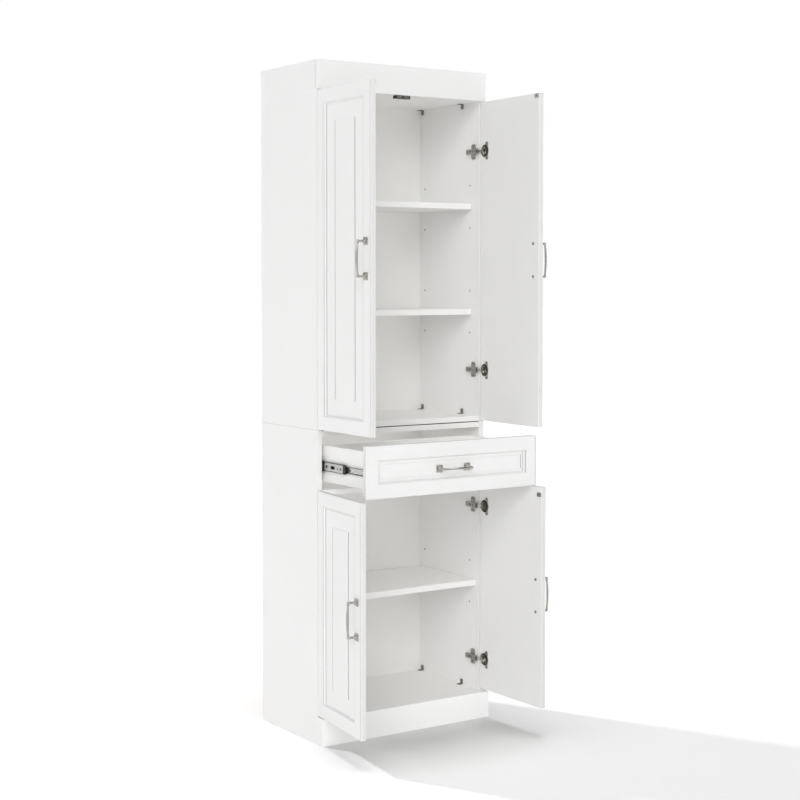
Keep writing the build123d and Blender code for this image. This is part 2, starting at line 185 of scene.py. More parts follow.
# Dark grey paint for the narrow quirks and the joint strips: painted shade standing in for the grooves' shadow.
quirk_shade_paint = painted("grey_painted_shade_in_quirks", (0.30, 0.298, 0.292), 0.6, vary=0.05, spec=0.2)
liner = painted("white_liner", (0.895, 0.891, 0.881), 0.46, peel=0.035, peel_scale=1100.0, vary=0.016, spec=0.4)


def make_back():
    """Hardboard: white face inwards, with bare pressed fibre behind."""
    m, nt, b = nodes_of("back_board")
    tc = nt.nodes.new("ShaderNodeTexCoord")
    sep = nt.nodes.new("ShaderNodeSeparateXYZ")
    nt.links.new(tc.outputs["Object"], sep.inputs["Vector"])
    rear = span(nt, sep.outputs["Y"], 0.0, 1.0, -0.0006, -0.0004)
    white = ramp(nt, noise(nt, 4.0, 4.0, 0.6), [(0.3, (0.885, 0.881, 0.871)), (0.7, (0.900, 0.896, 0.886))])
    fibre = ramp(nt, noise(nt, 420.0, 6.0, 0.75, (1, 1, 0.35)),
                 [(0.25, (0.33, 0.225, 0.14)), (0.5, (0.45, 0.32, 0.21)), (0.75, (0.56, 0.42, 0.29))])
    mix = nt.nodes.new("ShaderNodeMix")
    mix.data_type = "RGBA"
    nt.links.new(rear, mix.inputs["Factor"])
    nt.links.new(white, mix.inputs["A"])
    nt.links.new(fibre, mix.inputs["B"])
    nt.links.new(mix.outputs["Result"], b.inputs["Base Color"])
    nt.links.new(span(nt, rear, 0.46, 0.78, 0.0, 1.0), b.inputs["Roughness"])
    b.inputs["Specular IOR Level"].default_value = 0.4
    bump(nt, b, noise(nt, 650.0, 4.0, 0.7), 0.08, 0.0004)
    return m


def metal(name, dark, light, rough, grain=(1, 1, 1), grain_scale=900.0, aniso=0.0, bumped=0.05, vary=0.05):
    m, nt, b = nodes_of(name)
    g = noise(nt, grain_scale, 3.0, 0.6, grain)
    nt.links.new(ramp(nt, g, [(0.3, dark), (0.7, light)]), b.inputs["Base Color"])
    nt.links.new(span(nt, noise(nt, grain_scale * 0.31, 4.0, 0.6, grain), rough - vary, rough + vary), b.inputs["Roughness"])
    b.inputs["Metallic"].default_value = 1.0
    b.inputs["Anisotropic"].default_value = aniso
    bump(nt, b, g, bumped, 0.0002)
    return m


back_board = make_back()
# Brushed nickel: the satin grain runs round the posts and along the bow.
nickel = metal("brushed_nickel", (0.33, 0.32, 0.30), (0.50, 0.485, 0.46), 0.15, (0.12, 1, 1), 2600.0, 0.35, 0.06, 0.05)
nickel_v = metal("brushed_nickel_upright", (0.33, 0.32, 0.30), (0.50, 0.485, 0.46), 0.15, (1, 1, 0.12), 2600.0, 0.35, 0.06, 0.05)
hinge_steel = metal("nickel_plated_steel", (0.34, 0.33, 0.305), (0.48, 0.47, 0.44), 0.20, grain_scale=300.0, bumped=0.02, vary=0.04)
zinc = metal("zinc_plated_steel", (0.42, 0.42, 0.41), (0.58, 0.58, 0.57), 0.24, (1, 0.08, 1), 1500.0, 0.2, 0.03, 0.06)
zinc_lip = metal("zinc_ball_track", (0.13, 0.13, 0.125), (0.24, 0.24, 0.235), 0.20, (1, 0.05, 1), 1800.0, 0.2, 0.02, 0.05)
screw_mat = metal("screw_steel", (0.26, 0.255, 0.24), (0.40, 0.395, 0.38), 0.24, grain_scale=500.0, bumped=0.03)
bracket_mat = metal("bracket_steel", (0.17, 0.17, 0.162), (0.28, 0.275, 0.262), 0.36, grain_scale=420.0, bumped=0.04, vary=0.08)
# Dark steel: the springs' own colour and partly the damper's, and painted shade inside the screw recesses, the arm's
# slot and the cup's floor.
dark_steel_and_recess_shade = metal("dark_steel_with_painted_recess_shade", (0.05, 0.05, 0.048), (0.11, 0.108, 0.10), 0.42, grain_scale=380.0, bumped=0.03)
ball_mat = metal("bearing_ball", (0.62, 0.62, 0.62), (0.74, 0.74, 0.74), 0.12, grain_scale=200.0, bumped=0.0, vary=0.02)


def matte(name, dark, light, rough, scale=900.0, strength=0.12, spec=0.4):
    m, nt, b = nodes_of(name)
    n = noise(nt, scale, 3.0, 0.6)
    nt.links.new(ramp(nt, n, [(0.3, dark), (0.7, light)]), b.inputs["Base Color"])
    nt.links.new(span(nt, noise(nt, scale * 0.3, 3.0, 0.6), rough - 0.06, rough + 0.06), b.inputs["Roughness"])
    b.inputs["Specular IOR Level"].default_value = spec
    bump(nt, b, n, strength, 0.0003)
    return m


plastic = matte("black_plastic", (0.014, 0.014, 0.015), (0.026, 0.026, 0.027), 0.42, 1400.0, 0.10)
magnet_mat = matte("magnet", (0.035, 0.034, 0.034), (0.06, 0.058, 0.056), 0.5, 700.0, 0.15)
raw = matte("bare_fibreboard", (0.20, 0.14, 0.09), (0.33, 0.245, 0.17), 0.9, 1600.0, 0.5, 0.15)



def make_seam():
    """The liner again, near black on the two faces that meet between the units: painted shade for the dark gap between
    them.
    """
    m, nt, b = nodes_of("white_liner_with_painted_gap_shade")
    tc = nt.nodes.new("ShaderNodeTexCoord")
    sep = nt.nodes.new("ShaderNodeSeparateXYZ")
    nt.links.new(tc.outputs["Object"], sep.inputs["Vector"])
    off = nt.nodes.new("ShaderNodeMath")
    off.operation = "SUBTRACT"
    off.inputs[1].default_value = 0.844
    nt.links.new(sep.outputs["Z"], off.inputs[0])
    dist = nt.nodes.new("ShaderNodeMath")
    dist.operation = "ABSOLUTE"
    nt.links.new(off.outputs["Value"], dist.inputs[0])
    # bare marks the two faces that meet at the seam, and board is the near-black colour they get: painted shade of the
    # gap between the units.
    bare = span(nt, dist.outputs["Value"], 1.0, 0.0, 0.0011, 0.0014)
    white = ramp(nt, noise(nt, 3.1, 4.0, 0.6), [(0.3, (0.885, 0.881, 0.871)), (0.7, (0.900, 0.896, 0.886))])
    board = ramp(nt, noise(nt, 1600.0, 4.0, 0.7), [(0.3, (0.030, 0.026, 0.022)), (0.7, (0.060, 0.052, 0.042))])
    mix = nt.nodes.new("ShaderNodeMix")
    mix.data_type = "RGBA"
    nt.links.new(bare, mix.inputs["Factor"])
    nt.links.new(white, mix.inputs["A"])
    nt.links.new(board, mix.inputs["B"])
    nt.links.new(mix.outputs["Result"], b.inputs["Base Color"])
    nt.links.new(span(nt, noise(nt, 26.0, 5.0, 0.65), 0.41, 0.52), b.inputs["Roughness"])
    b.inputs["Specular IOR Level"].default_value = 0.4
    bump(nt, b, noise(nt, 1100.0, 2.0, 0.5), 0.035, 0.0004)
    return m


seam_liner = make_seam()
SLOT_MAT = {"white_paint": paint, "white_liner": liner, "back_board": back_board, "brushed_nickel": nickel,
            "nickel_steel": hinge_steel, "zinc_steel": zinc, "screw_steel": screw_mat, "bracket_steel": bracket_mat,
            "black_plastic": plastic}


# ------------------------------------------------------------------ mesh making (local millimetres)
def arc(cx, cy, r, a0, a1, n):
    return [(cx + r * math.cos(math.radians(a0 + (a1 - a0) * k / n)), cy + r * math.sin(math.radians(a0 + (a1 - a0) * k / n)))
            for k in range(n + 1)]


def rrect(w, h, r, n=5, cx=0.0, cy=0.0):
    r = max(min(r, w / 2 - 1e-3, h / 2 - 1e-3), 0.01)
    pts = []
    for sx, sy, a in ((1, 1, 0), (-1, 1, 90), (-1, -1, 180), (1, -1, 270)):
        pts += arc(cx + sx * (w / 2 - r), cy + sy * (h / 2 - r), r, a, a + 90, n)
    return pts


def circle(r, n=32, cx=0.0, cy=0.0, a0=0.0):
    return [(cx + r * math.cos(math.radians(a0) + 2 * math.pi * k / n), cy + r * math.sin(math.radians(a0) + 2 * math.pi * k / n))
            for k in range(n)]


def oblong(length, r, n=8, cx=0.0, cy=0.0, upright=False):
    """Slot of half-width r, length end to end."""
    h = length / 2 - r
    pts = arc(h, 0, r, -90, 90, n) + arc(-h, 0, r, 90, 270, n)
    return [(cx - y, cy + x) for x, y in pts] if upright else [(cx + x, cy + y) for x, y in pts]


class Part:
    """Faces gathered in local millimetres, then made into one piece."""

    def __init__(self):
        self.v, self.f, self.m, self.sharp = [], [], [], []

    def put(self, verts, faces, mat=0, at=None):
        base = len(self.v)
        flip = at is not None and at.determinant() < 0
        self.v += [(at @ Vector(p)) if at is not None else Vector(p) for p in verts]
        for f in faces:
            f = [base + i for i in f]
            self.f.append(f[::-1] if flip else f)
            self.m.append(mat)
        return self

    def loft(self, rings, mat=0, at=None, cap0=True, cap1=True):
        """Rings run so that each one, seen against the direction of travel, is counter-clockwise."""
        n = len(rings[0])
        verts = [p for r in rings for p in r]
        faces = []
        for k in range(len(rings) - 1):
            for i in range(n):
                j = (i + 1) % n
                faces.append([k * n + i, k * n + j, (k + 1) * n + j, (k + 1) * n + i])
        if cap0:
            faces.append(list(range(n))[::-1])
        if cap1:
            faces.append([(len(rings) - 1) * n + i for i in range(n)])
        return self.put(verts, faces, mat, at)

    def lathe(self, profile, n=32, mat=0, at=None, cap0=True, cap1=True):
        """profile is (r, z) going up the outside."""
        return self.loft([[(x, y, z) for x, y in circle(max(r, 0.004), n)] for r, z in profile], mat, at, cap0, cap1)

    def slab(self, outline, t, holes=(), bev=0.0, seg=2, mat=0, at=None, hole_mat=None):
        """Plate with its outline in x, y and its thickness from 0 to t, bevelled at its edges."""
        bm = bmesh.new()
        loops = []
        for pts in (outline, *holes):
            vs = [bm.verts.new((x, y, 0)) for x, y in pts]
            loops.append([v for v in vs])
        if holes:
            es = [bm.edges.new((vs[i], vs[(i + 1) % len(vs)])) for vs in loops for i in range(len(vs))]
            bmesh.ops.triangle_fill(bm, use_beauty=True, use_dissolve=False, edges=es)
        else:
            bm.faces.new(loops[0])
        bm.verts.index_update()
        n = len(bm.verts)
        low = [v.co.copy() for v in bm.verts]
        tris = [[v.index for v in f.verts] for f in bm.faces]
        rims = [[v.index for v in vs] for vs in loops]
        bm.free()
        bm = bmesh.new()
        vv = [bm.verts.new(c) for c in low] + [bm.verts.new((c.x, c.y, t)) for c in low]
        for f in tris:
            bm.faces.new([vv[i] for i in f])
            bm.faces.new([vv[i + n] for i in reversed(f)])
        for vs in rims:
            for i in range(len(vs)):
                a, b = vs[i], vs[(i + 1) % len(vs)]
                bm.faces.new([vv[a], vv[b], vv[b + n], vv[a + n]])
        bmesh.ops.recalc_face_normals(bm, faces=bm.faces[:])
        if bev:
            es = [e for e in bm.edges if len(e.link_faces) == 2 and e.calc_face_angle() > 0.7]
            bmesh.ops.bevel(bm, geom=es, offset=bev, segments=seg, profile=0.5, affect="EDGES", clamp_overlap=True)
        bm.verts.index_update()
        vs, fs = [v.co.copy() for v in bm.verts], [[v.index for v in f.verts] for f in bm.faces]
        bm.free()
        return self.put(vs, fs, mat, at)

    def tube(self, path, r, n=16, mat=0, at=None):
        """Round bar along a path of points; r is one radius or one for each point."""
        rs = r if isinstance(r, (list, tuple)) else [r] * len(path)
        pts = [Vector(p) for p in path]
        tan = [(pts[min(i + 1, len(pts) - 1)] - pts[max(i - 1, 0)]).normalized() for i in range(len(pts))]
        side = tan[0].orthogonal().normalized()
        rings = []
        for p, t, rr in zip(pts, tan, rs):
            side = (side - side.dot(t) * t).normalized()
            up = t.cross(side)
            rings.append([tuple(p + rr * (math.cos(2 * math.pi * k / n) * side + math.sin(2 * math.pi * k / n) * up)) for k in range(n)])
        return self.loft(rings, mat, at)

    def ball(self, r, n=14, mat=0, at=None):
        prof = [(r * math.sin(math.pi * k / (n // 2)), -r * math.cos(math.pi * k / (n // 2))) for k in range(n // 2 + 1)]
        return self.lathe(prof, n, mat, at)

    def ring(self, R, r, n=28, m=10, mat=0, at=None):
        verts, faces = [], []
        for i in range(n):
            a = 2 * math.pi * i / n
            for j in range(m):
                b = 2 * math.pi * j / m
                verts.append(((R + r * math.cos(b)) * math.cos(a), (R + r * math.cos(b)) * math.sin(a), r * math.sin(b)))
        for i in range(n):
            for j in range(m):
                k, q = (i + 1) % n, (j + 1) % m
                faces.append([i * m + j, k * m + j, k * m + q, i * m + q])
        return self.put(verts, faces, mat, at)

    def screw(self, r, h, mat=0, dark=None, at=None, csk=False, cross=0.62, turn=0.0):
        """Cross-recess screw head: base at z 0, domed to h. A countersunk one ends flush at h."""
        dark = mat if dark is None else dark
        rt = r * 0.78
        prof = [(r * 0.55, 0.0), (r, h)] if csk else \
            [(r, 0.0), (r, h * 0.3), (r * 0.965, h * 0.55), (r * 0.9, h * 0.77), (r * 0.82, h * 0.93), (rt, h)]
        if csk:
            rt = r
        n = 28
        self.lathe(prof, n, mat, at, True, False)
        a, b = r * 0.14, r * cross
        arm = [(b, -a), (b, a), (a * 1.5, a * 1.5), (a, b), (-a, b), (-a * 1.5, a * 1.5), (-b, a), (-b, -a), (-a * 1.5, -a * 1.5),
               (-a, -b), (a, -b), (a * 1.5, -a * 1.5)]
        c, s = math.cos(turn), math.sin(turn)
        arm = [(x * c - y * s, x * s + y * c) for x, y in arm]
        bm = bmesh.new()
        outer = [bm.verts.new((x, y, h)) for x, y in circle(rt, n)]
        inner = [bm.verts.new((x, y, h)) for x, y in arm]
        es = [bm.edges.new((vs[i], vs[(i + 1) % len(vs)])) for vs in (outer, inner) for i in range(len(vs))]
        bmesh.ops.triangle_fill(bm, use_beauty=True, edges=es)
        bm.verts.index_update()
        for f in bm.faces:
            if f.normal.z < 0:
                f.normal_flip()
        self.put([v.co.copy() for v in bm.verts], [[v.index for v in f.verts] for f in bm.faces], mat, at)
        bm.free()
        top, low = [(x, y, h) for x, y in arm], [(x * 0.6, y * 0.6, h - min(h * 0.8, 1.5)) for x, y in arm]
        # The recess walls take the dark material: painted shade inside the cross recess.
        self.loft([top, low], dark, at, False, True)
        return self

    def make(self, name, body, mats, slot=None, replaces=(), at=None, angle=32.0):
        bm = bmesh.new()
        vv = [bm.verts.new(at @ p if at is not None else p) for p in self.v]
        flip = at is not None and at.determinant() < 0
        for f, m in zip(self.f, self.m):
            try:
                face = bm.faces.new([vv[i] for i in (reversed(f) if flip else f)])
            except ValueError:
                continue
            face.material_index = m
            face.smooth = True
        bmesh.ops.remove_doubles(bm, verts=bm.verts[:], dist=2e-7)
        bmesh.ops.dissolve_degenerate(bm, dist=1e-7, edges=bm.edges[:])
        limit = math.radians(angle)
        for e in bm.edges:
            e.smooth = not (len(e.link_faces) == 2 and e.calc_face_angle(0.0) > limit)
        mesh = bpy.data.meshes.new(name)
        bm.to_mesh(mesh)
        bm.free()
        for m in mats:
            mesh.materials.append(m)
        o = bpy.data.objects.new(name, mesh)
        SCENE.collection.objects.link(o)
        w = o.modifiers.new("weighted", "WEIGHTED_NORMAL")
        w.keep_sharp = True
        w.weight = 80
        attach(o, body)
        if replaces:
            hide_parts(*replaces)
        return o


def T3(x, y, z):
    return Matrix.Translation((x, y, z))


def rot(axis, deg):
    return Matrix.Rotation(math.radians(deg), 4, axis)


def frame_to(origin, z, x=None):
    """Local frame at origin with its z along z."""
    z = Vector(z).normalized()
    x = Vector(x) if x is not None else z.orthogonal()
    x = (x - x.dot(z) * z).normalized()
    y = z.cross(x)
    return Matrix((( x.x, y.x, z.x, origin[0]), (x.y, y.y, z.y, origin[1]), (x.z, y.z, z.z, origin[2]), (0, 0, 0, 1)))


# ------------------------------------------------------------------ routed fronts
def routed(w, h, t, sticking, field, back_holes=(), wide=(1.5, 0.45), inner=(2.1, 1.6), line=0.4, shaded=(7, 15),
           low=(2.3, 0.45)):
    """A board's routed face, as a loft of rectangles from the back's rim over the edges to the middle field.
    Each narrow quirk has its own width on the left upright, the right upright and the two rails."""
    (i0, i1, d), (j0, j1, e) = sticking, field
    edge = [(1.9, -t, 1.2), (1.5, -t, 1.4)]
    edge += [(1.5 - 1.5 * math.sin(k), -t + 1.5 - 1.5 * math.cos(k), 1.5) for k in (math.radians(18 * n) for n in range(1, 6))]
    edge += [(1.5 - 1.5 * math.cos(k), -1.5 + 1.5 * math.sin(k), 1.5) for k in (math.radians(18 * n) for n in range(0, 6))]
    edge += [(2.0, 0, 1.2)]
    joint = [(2.1, 2.1, 2.1, 0, 1.1), (2.25, 2.15, 2.25, -0.02, 1.0), (2.3, 2.3, 2.3, -0.3, 1.0), (2.35, 3.1, 2.35, -0.3, 1.0), (2.4, 3.25, 2.4, -0.02, 0.9),
             (2.5, 3.4, 2.5, 0, 0.8)]

    def same(rows):
        return [(i, i, i, z, r) for i, z, r in rows]

    def quirk(c, widths, z0, deep, z1):
        rows = []
        for f, z in ((-0.62, z0), (-0.5, z0 - 0.12), (-0.4, z0 - 0.6), (-0.26, z0 - deep), (0.26, z0 - deep), (0.4, z1 - 0.6), (0.5, z1 - 0.12), (0.62, z1)):
            rows.append((c + f * widths[0], c + f * widths[1], c + f * line, z, 0.3))
        return rows

    first = quirk(i0 - 0.8, wide, 0.0, 2.0, -0.05)
    wall = [(i0 + 0.3, -0.05, 0.3), (i0 + 0.55, -0.35, 0.4)]
    for k in range(1, 8):
        f = k / 8
        wall.append((i0 + 0.55 + (i1 - i0 - 0.8) * f ** 1.7, -0.35 - (d - 1.2) * f, 0.6))
    wall += [(i1 - 0.1, -d + 0.5, 0.7), (i1, -d, 0.8)]
    foot = quirk(i1 + 1.4, low, -d, 1.9, -d)
    flat = [(j0 - 1.4 - 0.8, -d, 0.8)]
    last = quirk(j0 - 0.2, inner, -d, 1.9, -e - 0.05)
    end = [(j0 + 1.1, -e - 0.02, 0.6), (j0 + 1.7, -e, 0.4)]
    part = Part()
    face = [(i0 - 2.2, i0 - 2.2, i0 - 2.2, 0, 0.3)]
    runs = [(0, same(edge) + joint[:1]), (2, joint), (0, joint[-1:] + face + first[:1]), (2, first), (0, first[-1:] + same(wall) + foot[:1]), (2, foot),
            (0, foot[-1:] + same(flat) + last[:1]), (2, last), (0, last[-1:] + same(end))]
    for k, (mat, rows) in enumerate(runs):
        rings = [[(x, y, z) for x, y in rrect(w - il - ir, h - 2 * iy, r, 3, (il - ir) / 2, 0.0)] for il, ir, iy, z, r in rows]
        start = len(part.f)
        part.loft(rings, mat, None, False, k == len(runs) - 1)
        # Quirk faces on the sides listed in shaded, and the edge quirk on the free upright alone, take the grey paint:
        # painted shade in the grooves.
        if mat == 2:
            for q in range(start, len(part.f)):
                if (q - start) % 16 not in ((15,) if k == 1 else shaded):
                    part.m[q] = 0
        elif k == 0:
            # The rounded edge's faces take the darker edge paint: painted shade on the edge.
            for q in range(start + 5 * 16, start + 9 * 16):
                part.m[q] = 3
    # the back, with its borings
    bm = bmesh.new()
    rims = [rrect(w - 3.8, h - 3.8, 1.2, 3)] + [circle(r, 48 if r > 10 else 16, cx, cy) for cx, cy, r, depth in back_holes]
    es = []
    for pts in rims:
        vs = [bm.verts.new((x, y, -t)) for x, y in pts]
        es += [bm.edges.new((vs[i], vs[(i + 1) % len(vs)])) for i in range(len(vs))]
    if back_holes:
        bmesh.ops.triangle_fill(bm, use_beauty=True, use_dissolve=False, edges=es)
    else:
        bm.faces.new(bm.verts[:])
    for f in bm.faces:
        f.normal_update()
        if f.normal.z > 0:
            f.normal_flip()
    bm.verts.index_update()
    part.put([v.co.copy() for v in bm.verts], [[v.index for v in f.verts] for f in bm.faces])
    bm.free()
    for (cx, cy, r, depth), pts in zip(back_holes, rims[1:]):
        top = [(x, y, -t) for x, y in pts]
        low = [(x, y, -t + depth) for x, y in pts]
        part.loft([top, low], 1, None, False, True)
    return part


DOOR_STICK, DOOR_FIELD = (38.0, 40.5, 5.4), (86.0, 87.0, 4.9)
DRW_STICK, DRW_FIELD_P = (38.0, 40.5, 5.0), (49.5, 50.5, DRAWER_FIELD)


def door_leaf(key):
    level = key[0]
    z0, z1 = DOOR_Z[level]
    zc, uc = (z0 + z1) / 2, REVEAL + DOOR_W / 2
    holes = [(CUP_U - uc, z - zc, CUP_R, 11.3) for z in HINGE_Z[level]]
    part = routed(DOOR_W, z1 - z0, DOOR_T, DOOR_STICK, DOOR_FIELD, holes)
    place = Matrix.Translation(uv(uc, V_FACE, zc)) @ FACE
    part.make(f"leaf_{LONG[key]}", f"door_{LONG[key]}", [paint_door, raw, quirk_shade_paint, edge_shade_paint], "white_paint", [f"door_{LONG[key]}"], door_m(key) @ place)


# ------------------------------------------------------------------ bow pull, lying along X and standing out along +Z
def pull():
    p = Part()
    h = HANDLE_CC / 2
    for s in (-1, 1):
        sq = [(10.0, 0.0, 0.8), (10.0, 1.45, 0.9), (9.93, 1.85, 1.0), (9.72, 2.2, 1.1), (9.4, 2.45, 1.2), (9.0, 2.58, 1.3), (7.35, 2.62, 1.0),
              (7.08, 2.75, 0.9), (7.0, 3.05, 0.9), (7.0, 3.9, 0.9), (6.92, 4.3, 1.0), (6.7, 4.65, 1.2), (6.35, 4.88, 1.4), (5.9, 4.98, 1.6),
              (5.0, 5.0, 1.8)]
        p.loft([[(x, y, z) for x, y in rrect(2 * a, 2 * a, r, 4)] for a, z, r in sq], 0, T3(s * h, 0, 0))
        neck = [(4.9, 4.7), (5.2, 5.0), (5.3, 5.5), (5.15, 6.0), (4.7, 6.35), (4.45, 6.7), (4.1, 7.6), (3.7, 8.9), (3.4, 10.6), (3.2, 12.8),
                (3.08, 15.5), (3.06, 18.0), (3.15, 19.6), (3.55, 20.2), (3.72, 20.7), (3.55, 21.2), (3.2, 21.6), (3.1, 22.2)]
        p.lathe(neck, 32, 0, T3(s * h, 0, 0))
        p.ball(3.62, 28, 0, T3(s * h, 0, 24.2))
    n = 48
    pts, rs = [], []
    R = (h * h + 9.0) / 6.0
    for k in range(n + 1):
        x = -h + 2 * h * k / n
        z = 27.0 - R + math.sqrt(R * R - x * x)
        f = abs(x) / h
        r = 2.95 - 0.55 * f ** 2.2
        pts.append((x, 0, z))
        rs.append(r)
    p.tube(pts, rs, 24)
    for s in (-1, 1):
        x = s * (h - 5.6)
        z = 27.0 - R + math.sqrt(R * R - x * x)
        tilt = math.degrees(math.asin(x / R))
        for dx, rr, ww in ((0.0, 2.55, 0.95), (1.9 * s, 2.3, 0.6)):
            p.ring(rr, ww, 28, 10, 0, T3(x + dx, 0, z - 0.03 * abs(dx)) @ rot("Y", 90 + tilt))
    return p


def place_pulls():
    for key in ("ul", "ur", "ll", "lr"):
        at = door_m(key) @ Matrix.Translation(uv(249.5, V_FACE, HANDLE_Z[key[0]])) @ FACE @ rot("Z", 90)
        pull().make(f"pull_{LONG[key]}", f"door_{LONG[key]}", [nickel_v], "brushed_nickel", [f"handle_{LONG[key]}"], at)
    at = MM @ T3(0, -DRAWER_OUT, 0) @ Matrix.Translation(uv(W / 2, V_FACE - DRAWER_FIELD, DRAWER_HANDLE_Z)) @ FACE
    pull().make("pull_drawer", "drawer", [nickel], "brushed_nickel", ["drawer_handle"], at)


# ------------------------------------------------------------------ concealed hinges
def on_side(u, z, v=0.0):
    """Local plane on a surface that faces inboard: x along v, y up, z along u."""
    return Matrix.Translation(uv(u, v, z)) @ Matrix(((0, 0, 1, 0), (-1, 0, 0, 0), (0, 1, 0, 0), (0, 0, 0, 1)))


def hinge_fixed(p, q, z):
    """Mounting plate (p) and arm (q) of one left-hand hinge at height z."""
    # plate: cruciform pressing
    wing = rrect(20, 43, 5.0, 5, -27, 0)
    holes = [circle(2.3, 16, -27, s * 16) for s in (-1, 1)]
    p.slab(wing, 2.0, holes, 0.35, 2, 0, on_side(T, z))
    p.slab(rrect(38, 10, 1.2, 3, -30, 0), 2.0, (), 0.3, 2, 0, on_side(T, z))
    p.slab(rrect(37.6, 9.6, 1.0, 3, -30, 0), 5.3, (), 0.5, 2, 0, on_side(T + 2, z))
    for s in (-1, 1):
        p.slab(rrect(12, 3.0, 0.8, 3, -27, s * 7.6), 1.2, (), 0.3, 2, 0, on_side(T + 2, z))
        p.screw(3.4, 1.5, 1, 2, on_side(T + 2, z + s * 16, -27), turn=0.5 + s)
    # arm: channel with rounded shoulders, its web slotted for the adjusting screws
    web = [(-53, -5.0), *arc(-51, -5.0, 2.0, 180, 270, 4)[1:], (-9.0, -7.0), (-5.5, -6.6), (-4.5, -5.2), (-4.5, 5.2), (-5.5, 6.6), (-9.0, 7.0),
           *arc(-51, 5.0, 2.0, 90, 180, 4)]
    slots = [circle(3.0, 20, -20, 0), oblong(9.0, 2.2, 6, -31.5, 0), circle(3.0, 20, -42, 0)]
    q.slab(web, 1.4, slots, 0.45, 2, 0, on_side(T + 7.5, z))
    cheek = [(T + 2.6, -50.0), (T + 7.9, -50.0), (T + 7.9, -9.0), (26.0, -5.2), (27.3, -2.4), (27.6, 0.4), (27.3, 2.2), (26.2, 3.4), (24.6, 3.8),
             (22.8, 3.6), (21.2, 2.8), (20.2, 1.0), (19.2, -2.6), (17.9, -6.6), (T + 2.6, -9.0)]
    for w in (-7.0, 5.8):
        q.slab(cheek, 1.2, (), 0.3, 2, 0, UVZ @ T3(0, 0, z + w))
    # adjusting screws in the arm: side screw in a bush, depth screw with a cam edge
    for v, r in ((-20.0, 2.75), (-42.0, 2.9)):
        q.lathe([(r, -1.2), (r, 1.0), (r - 0.25, 1.25)], 24, 0, on_side(T + 7.5, z, v))
        q.screw(r - 0.3, 0.8, 1, 2, on_side(T + 8.6, z, v), turn=0.3 + v)
    # Dark plate in the oblong slot, under the steel ribs: painted shade for the slot's depth.
    q.slab(oblong(8.6, 2.0, 6, -31.5, 0), 0.3, (), 0.0, 1, 2, on_side(T + 7.45, z))
    for k in range(4):
        q.slab(rrect(0.5, 3.4, 0.1, 1, -29.2 - 1.5 * k, 0), 0.55, (), 0.0, 1, 0, on_side(T + 7.6, z))
    # pin with peened ends
    q.lathe([(1.0, -9.0), (1.7, -8.7), (1.9, -8.2), (1.9, -7.2), (1.5, -7.0), (1.5, 7.0), (1.9, 7.2), (1.9, 8.2), (1.7, 8.7), (1.0, 9.0)], 18, 0,
            Matrix.Translation(uv(ARM_U, ARM_V, z)))


def hinge_link(p, z):
    t = math.radians(LINK_CLOSED)
    cu, cv = ARM_U + LINK_LEN * math.cos(t), ARM_V + LINK_LEN * math.sin(t)
    du, dv, nu, nv = math.cos(t), math.sin(t), math.sin(t), -math.cos(t)
    line = []
    ctrl = [(0.0, 0.0), (0.2, 1.7), (0.72, 2.1), (1.0, 0.0)]
    n = 14
    for k in range(n + 1):
        f = k / n
        # Catmull-Rom style pass through the bowed middle line
        s = f * 3
        i = min(int(s), 2)
        w = s - i
        a, b = ctrl[i], ctrl[i + 1]
        w2 = w * w * (3 - 2 * w)
        line.append((a[0] + (b[0] - a[0]) * w, a[1] + (b[1] - a[1]) * w2))
    edge = [(f, o + 0.85) for f, o in line] + [(f, o - 0.85) for f, o in reversed(line)]
    pts = [(ARM_U + f * LINK_LEN * du + o * nu, ARM_V + f * LINK_LEN * dv + o * nv) for f, o in edge]
    p.slab(pts, 7.4, (), 0.25, 2, 0, UVZ @ T3(0, 0, z - 3.7))
    # rolled eyes and the torsion spring on the pin
    for w0, w1 in ((-5.5, -3.9), (3.9, 5.5)):
        p.lathe([(2.45, w0), (2.65, w0 + 0.2), (2.65, w1 - 0.2), (2.45, w1)], 22, 0, Matrix.Translation(uv(ARM_U, ARM_V, z)))
    p.lathe([(2.0, -3.7), (2.0, 3.7)], 20, 0, Matrix.Translation(uv(ARM_U, ARM_V, z)))
    for k in range(9):
        p.ring(2.2, 0.4, 20, 8, 1, Matrix.Translation(uv(ARM_U, ARM_V, z - 3.36 + 0.84 * k)))
    p.lathe([(1.7, -3.8), (1.95, -3.6), (1.95, 3.6), (1.7, 3.8)], 20, 0, Matrix.Translation(uv(cu, cv, z)))


